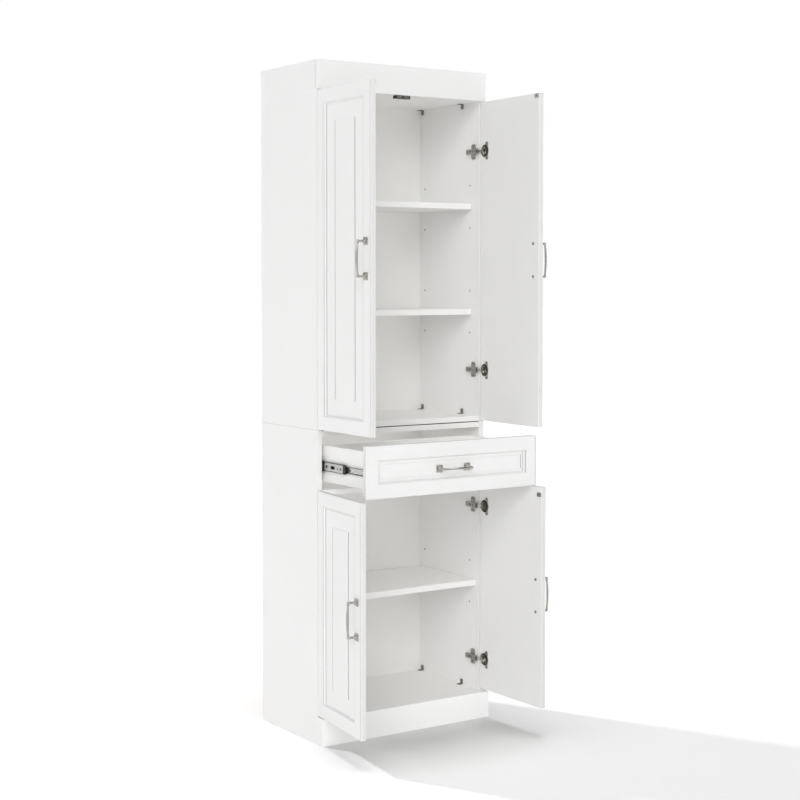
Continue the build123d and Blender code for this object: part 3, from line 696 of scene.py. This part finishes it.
def hinge_cup(p, z):
    """Pressed cup and flange in the closed leaf. Local z runs out of the leaf's inner face, towards the carcass."""
    at = Matrix.Translation(uv(CUP_U, DOOR_GAP, z)) @ Matrix(((1, 0, 0, 0), (0, 0, 1, 0), (0, -1, 0, 0), (0, 0, 0, 1)))
    r = CUP_R
    rim = [(r - 0.05, -11.2), (r - 0.05, -0.1), (r + 0.55, 0.05), (r + 0.6, 0.45), (r + 0.45, 0.8), (r + 0.1, 0.98), (r - 0.4, 0.95), (r - 0.75, 0.6),
           (r - 0.85, 0.1), (r - 0.85, -1.0)]
    p.lathe(rim, 48, 0, at, True, False)
    p.lathe([(r - 0.85, -1.0), (r - 0.85, -8.6), (r - 1.3, -9.8), (r - 2.4, -10.5), (r - 4.0, -10.6), (0.01, -10.6)], 48, 0, at, False, False)
    # flange: leaves the rim on the side away from the door's edge
    flange = rrect(12.4, 50, 4.5, 6, 9.5 + 0.2, 0)
    holes = [circle(2.7, 18, 9.5 + 0.5, s * 21) for s in (-1, 1)]
    # only its two ears and the strip beyond the cup are steel; the cup's mouth stays open
    ear_top = [(3.4, 16.6), *arc(3.4 + 4.5, 25 - 4.5, 4.5, 180, 90, 6)[0:], *arc(15.8 - 4.5, 25 - 4.5, 4.5, 90, 0, 6), (15.8, -25 + 4.5),
               *arc(15.8 - 4.5, -25 + 4.5, 4.5, 0, -90, 6), *arc(3.4 + 4.5, -25 + 4.5, 4.5, -90, -180, 6), (3.4, -16.6)]
    rr = r + 0.2
    a1 = math.degrees(math.asin(16.6 / rr))
    inner = [(rr * math.cos(math.radians(a)), rr * math.sin(math.radians(a))) for a in [-79 + (158) * k / 20 for k in range(21)]]
    inner = [(x, y) for x, y in inner if x > 3.4 and x < 15.6]
    lo = [q for q in inner if q[1] < 0]
    hi = [q for q in inner if q[1] > 0]
    # upper and lower ears as two plates
    for s in (-1, 1):
        ear = [(3.4, s * 17.3), (3.4, s * 20.5)] + [(3.4 + 4.5 - 4.5 * math.cos(math.radians(a)), s * (20.5 + 4.5 * math.sin(math.radians(a)))) for a in (18, 36, 54, 72, 90)]
        ear += [(15.8 - 4.5 + 4.5 * math.sin(math.radians(a)), s * (20.5 + 4.5 * math.cos(math.radians(a)))) for a in (0, 18, 36, 54, 72, 90)]
        ear += [(15.8, s * 8.6)]
        ear += [(rr * math.cos(math.radians(a)), s * rr * math.sin(math.radians(a))) for a in (30, 38, 46, 54, 62, 70, 77)]
        p.slab(ear if s < 0 else ear[::-1], 0.95, [circle(2.6, 18, 10.0, s * 21)], 0.25, 2, 0, at)
        p.screw(3.1, 0.75, 1, 2, at @ T3(10.0, s * 21, 0.5), turn=0.7 * s + z)
    # cross pins that carry the link, and the damper's dark body in the cup's floor, whose dark steel is partly the
    # damper's own colour and partly painted shade for the cup's depth
    sx, sv = 8.46 - CUP_U, 3.0
    for s in (-1, 1):
        p.lathe([(1.5, 0.0), (1.5, 4.7)], 14, 0, at @ T3(sx, 0, -(sv - DOOR_GAP)) @ (T3(0, 4.3, 0) if s > 0 else T3(0, -9.0, 0)) @ rot("X", -90))
    p.slab(rrect(13, 22, 3.0, 4, 5.5, 0), 6.5, (), 0.8, 2, 2, at @ T3(0, 0, -10.6))


def place_hinges():
    p, q = Part(), Part()
    for level in ("u", "l"):
        for z in HINGE_Z[level]:
            one, two = Part(), Part()
            hinge_fixed(one, two, z)
            for src, dst in ((one, p), (two, q)):
                for m in (Matrix.Identity(4), MIRROR):
                    base = len(dst.v)
                    dst.v += [m @ v for v in src.v]
                    dst.f += [[base + i for i in (reversed(f) if m.determinant() < 0 else f)] for f in src.f]
                    dst.m += src.m
    p.make("hinge_mounting_plates", "carcass", [hinge_steel, screw_mat, dark_steel_and_recess_shade], "nickel_steel", ["hinge_plates"], MM)
    q.make("hinge_channel_arms", "carcass", [hinge_steel, screw_mat, dark_steel_and_recess_shade], "nickel_steel", ["hinge_arms"], MM)
    for key in ("ul", "ur", "ll", "lr"):
        p, q = Part(), Part()
        for z in HINGE_Z[key[0]]:
            hinge_link(p, z)
            hinge_cup(q, z)
        p.make(f"link_and_spring_{LONG[key]}", f"hinge_links_{LONG[key]}", [hinge_steel, dark_steel_and_recess_shade], "nickel_steel", [f"hinge_links_{LONG[key]}"], link_m(key))
        q.make(f"cup_{LONG[key]}", f"door_{LONG[key]}", [hinge_steel, screw_mat, dark_steel_and_recess_shade], "nickel_steel", [f"hinge_cups_{LONG[key]}"], door_m(key))
        # screw heads on the leaf's inner face, and the catch's strike plate
        s, k = Part(), Part()
        inward = Matrix(((1, 0, 0, 0), (0, 0, 1, 0), (0, -1, 0, 0), (0, 0, 0, 1)))
        for dz in (-HANDLE_CC / 2, HANDLE_CC / 2):
            s.screw(4.0, 2.0, 0, 1, Matrix.Translation(uv(249.5, DOOR_GAP, HANDLE_Z[key[0]] + dz)) @ inward, turn=dz)
        z0, z1 = STRIKE_Z[key[0]]
        at = Matrix.Translation(uv(263.0, DOOR_GAP, (z0 + z1) / 2)) @ inward
        k.slab(rrect(18, z1 - z0 - 0.1, 2.0, 5), 1.0, [circle(2.6, 18)], 0.3, 2, 0, at)
        s.screw(2.5, 0.85, 0, 1, at @ T3(0, 0, 0.1), turn=0.4)
        s.make(f"inner_screws_{LONG[key]}", f"door_{LONG[key]}", [screw_mat, dark_steel_and_recess_shade], "screw_steel", [f"door_screws_{LONG[key]}"], door_m(key))
        k.make(f"strike_{LONG[key]}", f"door_{LONG[key]}", [hinge_steel], "nickel_steel", [f"strike_plate_{LONG[key]}"], door_m(key))


# ------------------------------------------------------------------ drawer slides
def channel(lip, half, web0, web1, y0, y1, t, r, holes, p, mat=0, lips=None):
    """C-section: web between p = web0 and web1 (distance from the side's inner face), lips turned to p = lip. q is up from the middle line."""
    # web, in the y-q plane
    at = Matrix(((0, 0, 1, XI + web0), (1, 0, 0, 0), (0, 1, 0, SLIDE_Z), (0, 0, 0, 1)))
    p.slab([(y0, -half + r), (y1, -half + r), (y1, half - r), (y0, half - r)], web1 - web0, holes, 0.2, 1, mat, at)
    # lips: rolled corners, bent strips run along y
    toward = 1 if lip > web1 else -1
    wc = (web0 + web1) / 2
    for s in (-1, 1):
        mid = [(wc, s * (half - r - 0.6))]
        for k in range(7):
            a = math.radians(90 * k / 6)
            mid.append((wc + toward * (r - t / 2) * (1 - math.cos(a)), s * (half - r + (r - t / 2) * math.sin(a))))
        mid.append((lip, s * (half - t / 2)))
        left, right = [], []
        for k, (a, b) in enumerate(mid):
            a0, b0 = mid[max(k - 1, 0)]
            a1, b1 = mid[min(k + 1, len(mid) - 1)]
            dx, dy = a1 - a0, b1 - b0
            n = math.hypot(dx, dy)
            left.append((a - dy / n * t / 2, b + dx / n * t / 2))
            right.append((a + dy / n * t / 2, b - dx / n * t / 2))
        outline = left + right[::-1]
        m = Matrix(((1, 0, 0, XI), (0, 0, 1, y0), (0, 1, 0, SLIDE_Z), (0, 0, 0, 1)))
        p.slab(outline, y1 - y0, (), 0.15, 1, mat if lips is None else lips, m)


def add_both(src, dst):
    for m in (Matrix.Identity(4), MIRROR):
        base = len(dst.v)
        dst.v += [m @ v for v in src.v]
        dst.f += [[base + i for i in (reversed(f) if m.determinant() < 0 else f)] for f in src.f]
        dst.m += src.m


def place_slides():
    y0, y1 = YF + 2, YF + 252
    outer, mid, inner, cages = Part(), Part(), Part(), Part()
    # outer member, on the carcass side
    o = Part()
    holes = [circle(2.2, 16, YF + 37, 0), circle(2.2, 16, YF + 229, 0), oblong(12, 2.3, 6, YF + 69, 0), oblong(12, 2.3, 6, YF + 133, 0),
             oblong(10, 2.3, 6, YF + 197, 0, True)]
    channel(8.9, 17.4, 0.0, 1.2, y0 + 1.0, y1, 1.2, 2.6, holes, o)
    # bumper behind the outer member's front end
    o.slab(rrect(3.2, 30.0, 1.2, 4, 2.95, 0), 3.0, (), 0.4, 2, 1, Matrix(((1, 0, 0, XI), (0, 0, 1, y0 + 0.2), (0, 1, 0, SLIDE_Z), (0, 0, 0, 1))))
    add_both(o, outer)
    # middle member and its nose, 113 out at rest
    m = Part()
    shift = -DRAWER_OUT / 2
    ma, mb = y0 + shift, y1 + shift
    holes = [oblong(9, 3.4, 6, ma + 24, 0), circle(3.6, 18, ma + 40, 0), oblong(22, 4.4, 8, ma + 64, 0), circle(4.2, 20, ma + 96, 0),
             oblong(14, 2.6, 6, ma + 150, 0), circle(2.4, 16, ma + 190, 0), oblong(11, 2.6, 6, ma + 222, 0)]
    channel(10.8, 12.9, 5.0, 6.1, ma + 11.0, mb, 1.15, 2.2, holes, m, 0, 1)
    add_both(m, mid)
    # cages: long plastic strips that space the balls, and the nose that ends the middle member
    c = Part()
    nose = [(ma - 0.9, -5.6), (ma + 1.0, -7.6), (ma + 4.2, -8.2), (ma + 4.2, -12.7), (ma + 13.0, -12.7), (ma + 13.0, 12.7), (ma + 4.2, 12.7),
            (ma + 4.2, 8.2), (ma + 1.0, 7.6), (ma - 0.9, 5.6)]
    c.slab(nose, 2.0, [circle(2.0, 14, ma + 5.0, 0)], 0.35, 2, 0, Matrix(((0, 0, 1, XI + 4.7), (1, 0, 0, 0), (0, 1, 0, SLIDE_Z), (0, 0, 0, 1))))
    for s in (-1, 1):
        # inner cage, riding in the middle member
        c.slab(rrect(62.5, 2.3, 0.8, 3, ma + 30.3, s * 10.45), 2.6, (), 0.3, 2, 0,
               Matrix(((0, 0, 1, XI + 7.3), (1, 0, 0, 0), (0, 1, 0, SLIDE_Z), (0, 0, 0, 1))))
        for k in range(9):
            c.ball(1.42, 12, 1, T3(XI + 8.6, ma + 8 + 6.2 * k, SLIDE_Z + s * 10.45))
        # outer cage, between the middle and outer members
        c.slab(rrect(60.0, 2.6, 0.9, 3, ma + 206.0, s * 14.6), 3.0, (), 0.3, 2, 0,
               Matrix(((0, 0, 1, XI + 4.6), (1, 0, 0, 0), (0, 1, 0, SLIDE_Z), (0, 0, 0, 1))))
        for k in range(9):
            c.ball(1.58, 12, 1, T3(XI + 6.1, ma + 180 + 6.2 * k, SLIDE_Z + s * 14.6))
    add_both(c, cages)
    # inner member, on the drawer's side
    n = Part()
    ia, ib = y0 - DRAWER_OUT, y1 - DRAWER_OUT
    holes = [circle(2.0, 14, ia + 12, 0), oblong(9, 2.2, 6, ia + 35, 0), circle(2.0, 14, ia + 60, 0), oblong(12, 2.4, 6, ia + 92, 0),
             circle(2.0, 14, ia + 124, 0), oblong(9, 2.2, 6, ia + 160, 0, True), circle(2.0, 14, ia + 200, 0), oblong(9, 2.2, 6, ia + 232, 0)]
    channel(7.1, 8.95, 11.55, 12.7, ia, ib, 1.1, 1.9, holes, n, 0, 4)
    for y in (ia + 12, ia + 124, ia + 200):
        n.screw(3.0, 1.1, 2, 3, Matrix.Translation((XI + 11.55, y, SLIDE_Z)) @ rot("Y", -90), turn=y)
    # release lever
    lever = [(ia + 96, -1.2), (ia + 100, -3.4), (ia + 122, -3.0), (ia + 136, -5.6), (ia + 141, -5.2), (ia + 139, -2.6), (ia + 124, 0.4), (ia + 100, 1.4)]
    n.slab(lever, 2.0, (), 0.4, 2, 1, Matrix(((0, 0, 1, XI + 9.2), (1, 0, 0, 0), (0, 1, 0, SLIDE_Z), (0, 0, 0, 1))))
    add_both(n, inner)
    outer.make("slide_outer_channels", "carcass", [zinc, plastic], "zinc_steel", ["slide_outer_members"], MM)
    mid.make("slide_middle_channels", "slide_mids", [zinc, zinc_lip], "zinc_steel", ["slide_mid_members"], MM)
    cages.make("slide_cages_and_balls", "slide_mids", [plastic, ball_mat], "black_plastic", ["slide_ball_cages"], MM)
    inner.make("slide_inner_channels", "drawer", [zinc, plastic, screw_mat, dark_steel_and_recess_shade, zinc_lip], "zinc_steel", ["slide_inner_members"], MM)


# ------------------------------------------------------------------ small fittings in the carcass
def place_fittings():
    br = Part()
    # angle bracket: bent strip with a screw in each leg
    L, t, w, r = 15.0, 1.6, 12.0, 2.4
    sec = [(0.0, L), (t, L), *[(t + r - t - (r - t) * math.cos(math.radians(a)) + 0.0, t + (r - t) - (r - t) * math.sin(math.radians(a))) for a in (0, 30, 60, 90)],
           (L, t), (L, 0.0), *[(r - r * math.sin(math.radians(a)), r - r * math.cos(math.radians(a))) for a in (0, 22, 45, 67, 90)]]
    for z, up in ((860.0, 1), (1750.0, -1), (74.0, 1), (669.0, -1)):
        for back in (83.0, 285.0):
            one = Part()
            m = Matrix(((1, 0, 0, XI), (0, 0, 1, YF + back - w / 2), (0, up, 0, z), (0, 0, 0, 1)))
            one.slab(sec, w, (), 0.3, 2, 0, m)
            one.screw(3.0, 1.3, 1, 2, Matrix.Translation((XI + t, YF + back, z + up * 9.2)) @ rot("Y", 90), turn=back)
            one.screw(3.0, 1.3, 1, 2, Matrix.Translation((XI + 9.2, YF + back, z + up * t)) @ rot("X", 0 if up > 0 else 180), turn=back + 1)
            add_both(one, br)
    br.make("angle_brackets", "carcass", [bracket_mat, screw_mat, dark_steel_and_recess_shade], "bracket_steel", ["corner_brackets"], MM)

    # double magnetic catches
    mc = Part()
    for z in (1750.0, 669.0):
        face = Matrix(((1, 0, 0, 0), (0, 0, 1, 0), (0, 1, 0, 0), (0, 0, 0, 1)))
        at = T3(0, YF - 0.3, z) @ face
        holes = [rrect(16.2, 5.2, 0.6, 2, x, -4.25) for x in (-12.0, 12.0)]
        mc.slab(rrect(47, 8.5, 1.2, 4, 0, -4.25), 14.3, holes, 0.5, 2, 0, at)
        mc.slab(rrect(46, 7.5, 1.0, 2, 0, -4.25), 2.0, (), 0.0, 1, 0, T3(0, YF + 9.4, z) @ face)
        for x in (-12.0, 12.0):
            mc.slab(rrect(15.8, 2.2, 0.3, 2, x, -4.25), 9.0, (), 0.2, 1, 1, T3(0, YF + 0.2, z) @ face)
            for dz in (-6.0, -2.5):
                mc.slab(rrect(15.6, 1.1, 0.3, 2, x, dz), 9.6, (), 0.15, 1, 2, T3(0, YF - 0.3, z) @ face)
        for x in (-21.6, 0.0, 21.6):
            mc.slab(rrect(0.8, 6.0, 0.3, 2, x, -4.25), 0.35, (), 0.1, 1, 0, T3(0, YF - 0.3, z) @ face)
    mc.make("double_magnetic_catches", "carcass", [plastic, magnet_mat, hinge_steel], "black_plastic", ["magnetic_catches"], MM)

    # screws into the sides: slide screws (the hinge plates' own heads are with the plates)
    sc = Part()
    for y in (YF + 37, YF + 229):
        one = Part()
        one.screw(3.3, 1.1, 0, 1, Matrix.Translation((XI + 1.2, y, SLIDE_Z)) @ rot("Y", 90), turn=y)
        add_both(one, sc)
    sc.make("slide_screw_heads", "carcass", [screw_mat, dark_steel_and_recess_shade], "screw_steel", ["carcass_screws"], MM)

    # dark grey strips in the V-grooves of the boards' eased edges, at the crown corner and at the seam between the
    # units: painted shade for the grooves
    jt = Part()
    one = Part()
    one.slab([(-0.75, 0.12), (0.0, 0.72), (0.75, 0.12)], 78.0, (), 0.0, 1, 0, Matrix(((0, 1, 0, XL), (1, 0, 0, YF + 7.0), (0, 0, 1, 1750.5), (0, 0, 0, 1))))
    one.slab([(-0.35, 0.12), (0.0, 0.72), (0.35, 0.12)], D - 4.0, (), 0.0, 1, 0, Matrix(((0, 1, 0, XL), (0, 0, 1, YF + 2.0), (1, 0, 0, 845.0), (0, 0, 0, 1))))
    add_both(one, jt)
    jt.make("joint_shade_strips", "carcass", [quirk_shade_paint], None, (), MM)

    # bare board inside the shelf-pin borings
    bo = Part()
    for zc in (1455.0, 1155.0, 381.0):
        for dz in (-60.0, 0.0, 60.0):
            for row in (46.0, 273.0):
                one = Part()
                prof = [(2.47, 0.12), (2.25, 0.12), (2.2, -9.7), (0.01, -9.7)]
                one.lathe([(2.47, -9.8), (2.47, -0.05), (2.3, -0.05), (2.2, -9.6), (0.01, -9.6)], 18, 0,
                          Matrix.Translation(uv(T, -row, zc + dz)) @ rot("Y", 90), True, False)
                if dz:
                    add_both(one, bo)
    bo.make("peg_boring_walls", "carcass", [raw], None, (), MM)


def place_fronts():
    for key in ("ul", "ur", "ll", "lr"):
        door_leaf(key)
    z0, z1 = DRAWER_Z
    part = routed(W - 2 * REVEAL, z1 - z0, DOOR_T, DRW_STICK, DRW_FIELD_P, (), (0.4, 1.7), (0.4, 1.5), 0.3, (15,), (0.4, 1.2))
    at = MM @ T3(0, -DRAWER_OUT, 0) @ Matrix.Translation(uv(W / 2, V_FACE, (z0 + z1) / 2)) @ FACE
    part.make("front_drawer", "drawer", [paint_door, raw, quirk_shade_paint, edge_shade_paint], "white_paint", ["drawer_front"], at)
    s = Part()
    inward = Matrix(((1, 0, 0, 0), (0, 0, 1, 0), (0, -1, 0, 0), (0, 0, 0, 1)))
    for dx in (-HANDLE_CC / 2, HANDLE_CC / 2):
        s.screw(4.0, 2.0, 0, 1, Matrix.Translation(uv(W / 2 + dx, DOOR_GAP, DRAWER_HANDLE_Z)) @ inward, turn=dx)
    s.make("pull_screw_heads_drawer", "drawer", [screw_mat, dark_steel_and_recess_shade], "screw_steel", ["drawer_screws"], MM @ T3(0, -DRAWER_OUT, 0))


place_fronts()
place_pulls()
place_hinges()
place_slides()
place_fittings()

# ------------------------------------------------------------------ CAD nodes that stay
CARRIED = {
    "paint": ("upper_side_left", "upper_side_right", "lower_side_left", "lower_side_right", "crown_front", "crown_returns",
              "plinth_front", "plinth_returns"),
    "liner": ("crown_back_rail", "top_panel", "upper_bottom_panel", "lower_top_panel", "drawer_divider", "lower_bottom_panel",
              "rear_base_rail", "upper_shelf_high", "upper_shelf_low", "lower_shelf", "drawer_sides", "drawer_back", "drawer_bottom"),
    "back": ("upper_back_panel", "lower_back_panel"),
    "steel": ("shelf_pins",),
}
FINISH = {"paint": (paint, "white_paint"), "liner": (liner, "white_liner"), "back": (back_board, "back_board"), "steel": (hinge_steel, "nickel_steel")}
for kind, names in CARRIED.items():
    mat, slot_name = FINISH[kind]
    for n in names:
        o = NODES[n]
        o.data.materials.clear()
        o.data.materials.append(seam_liner if n in ("upper_bottom_panel", "lower_top_panel") else mat)
        if kind != "steel":
            e = o.modifiers.new("eased", "BEVEL")
            e.width, e.segments, e.limit_method, e.angle_limit = 0.0007, 2, "ANGLE", math.radians(40)
            e.use_clamp_overlap = True
for n, o in NODES.items():
    if not o.hide_render and not any(n in names for names in CARRIED.values()):
        o.data.materials.clear()
        o.data.materials.append(screw_mat)

# ------------------------------------------------------------------ floor, light, camera
WORLD, OVERHEAD, BAY = 0.44, 1.66, 0.15
KEY, KEY_EL, KEY_ANGLE = 1.3, 38.0, 3.0
FILL, FILL_DIR, FILL_ANGLE = 1.33, (0.56, 0.70, -0.44), 36.0
bm = bmesh.new()
vs = [bm.verts.new(p) for p in ((-60, -60, 0), (60, -60, 0), (60, 60, 0), (-60, 60, 0))]
bm.faces.new(vs)
mesh = bpy.data.meshes.new("floor")
bm.to_mesh(mesh)
bm.free()
floor = bpy.data.objects.new("floor", mesh)
SCENE.collection.objects.link(floor)
fm, nt, b = nodes_of("pale_floor")
nt.links.new(ramp(nt, noise(nt, 1.5, 2.0, 0.5), [(0.3, (0.878, 0.878, 0.878)), (0.7, (0.886, 0.886, 0.886))]), b.inputs["Base Color"])
b.inputs["Roughness"].default_value = 0.9
b.inputs["Specular IOR Level"].default_value = 0.0
mesh.materials.append(fm)

world = bpy.data.worlds.new("studio")
SCENE.world = world
world.use_nodes = True
nt = world.node_tree
nt.nodes.clear()


def backdrop(strength, colour=None):
    n = nt.nodes.new("ShaderNodeBackground")
    n.inputs["Color"].default_value = (1.0, 1.0, 1.0, 1.0)
    n.inputs["Strength"].default_value = strength
    if colour is not None:
        nt.links.new(colour, n.inputs["Color"])
    return n.outputs["Background"]


def choose(flag, no, yes):
    n = nt.nodes.new("ShaderNodeMixShader")
    nt.links.new(flag, n.inputs["Fac"])
    nt.links.new(no, n.inputs[1])
    nt.links.new(yes, n.inputs[2])
    return n.outputs["Shader"]


# What the metal mirrors: soft boxes with darker gaps between them.
tc = nt.nodes.new("ShaderNodeTexCoord")
wave = nt.nodes.new("ShaderNodeTexWave")
wave.wave_type = "BANDS"
wave.bands_direction = "X"
wave.inputs["Scale"].default_value = 0.85
wave.inputs["Distortion"].default_value = 1.6
wave.inputs["Detail"].default_value = 1.0
wave.inputs["Detail Scale"].default_value = 1.2
wave.inputs["Phase Offset"].default_value = 1.1
nt.links.new(tc.outputs["Generated"], wave.inputs["Vector"])
gaps = ramp(nt, wave.outputs["Fac"], [(0.34, (0.015, 0.015, 0.015)), (0.5, (0.30, 0.30, 0.30)), (0.72, (1.9, 1.9, 1.9))])
lp = nt.nodes.new("ShaderNodeLightPath")
light = choose(lp.outputs["Is Glossy Ray"], backdrop(WORLD), backdrop(1.0, gaps))
out = nt.nodes.new("ShaderNodeOutputWorld")
nt.links.new(choose(lp.outputs["Is Camera Ray"], light, backdrop(1.0)), out.inputs["Surface"])

ground = bpy.data.collections.new("ground")
ground.objects.link(floor)
rest_of_it = bpy.data.collections.new("not_ground")
rest_of_it.objects.link(floor)
rest_of_it.collection_objects[0].light_linking.link_state = "EXCLUDE"


def soft_sun(name, travel, strength, angle, receivers):
    d = bpy.data.lights.new(name, "SUN")
    d.energy = strength
    d.angle = math.radians(angle)
    o = bpy.data.objects.new(name, d)
    o.rotation_mode = "QUATERNION"
    o.rotation_quaternion = Vector(travel).to_track_quat("-Z", "Y")
    o.location = Vector((0, 0, 1)) - 4 * Vector(travel)
    SCENE.collection.objects.link(o)
    o.light_linking.receiver_collection = receivers
    return o


el = math.radians(KEY_EL)
soft_sun("key", (0.452 * math.cos(el), -0.892 * math.cos(el), -math.sin(el)), KEY, KEY_ANGLE, ground)
soft_sun("overhead", (0.0, 0.0, -1.0), OVERHEAD, 25.0, ground)
soft_sun("front_fill", FILL_DIR, FILL, FILL_ANGLE, rest_of_it)
# The plinth stands in the shade of the lower doors; this reaches it alone.
kick = bpy.data.collections.new("kick")
for o in list(SCENE.objects):
    if o.name in ("plinth_front", "plinth_returns"):
        kick.objects.link(o)
soft_sun("plinth_fill", (0.0, 0.98, -0.20), 0.62, 40.0, kick)


def lift(name, z, y0, y1, power, up=False):
    """Low soft panel inside a deep space, which no ray but a diffuse one meets."""
    d = bpy.data.lights.new(name, "AREA")
    d.shape = "RECTANGLE"
    d.size, d.size_y = 0.44, (y1 - y0) * 0.001
    d.energy = power
    o = bpy.data.objects.new(name, d)
    o.location = (0.0, (y0 + y1) * 0.0005, z * 0.001)
    o.rotation_euler = (math.pi if up else 0.0, 0.0, 0.0)
    o.visible_camera = o.visible_glossy = False
    SCENE.collection.objects.link(o)


lift("lift_drawer_bay", 826.5, -296, -20, BAY)
for name, z, y0, y1, p in (("lift_upper_low", 1145.5, -262, -20, 0.045), ("lift_upper_middle", 1445.5, -262, -20, 0.012),
                           ("lift_lower_high", 667.5, -288, -20, 0.05), ("lift_lower_low", 371.5, -286, -20, 0.02)):
    lift(name, z, y0, y1, p)
SCENE.cycles.max_bounces = 20
SCENE.cycles.diffuse_bounces = 14

cam = bpy.data.cameras.new("camera")
cam.lens, cam.sensor_width = 72.829, 36.0
cam.shift_y = -0.08
cam.clip_start, cam.clip_end = 0.1, 200.0
co = bpy.data.objects.new("camera", cam)
co.location = (-2.4653, -4.0091, 1.2415)
co.rotation_euler = (math.radians(88.07), 0, math.radians(-33.532))
SCENE.collection.objects.link(co)
SCENE.camera = co

SCENE.view_settings.view_transform = "Standard"
SCENE.view_settings.look = "None"
SCENE.view_settings.exposure = 0.0
SCENE.view_settings.gamma = 1.0

bpy.context.view_layer.update()
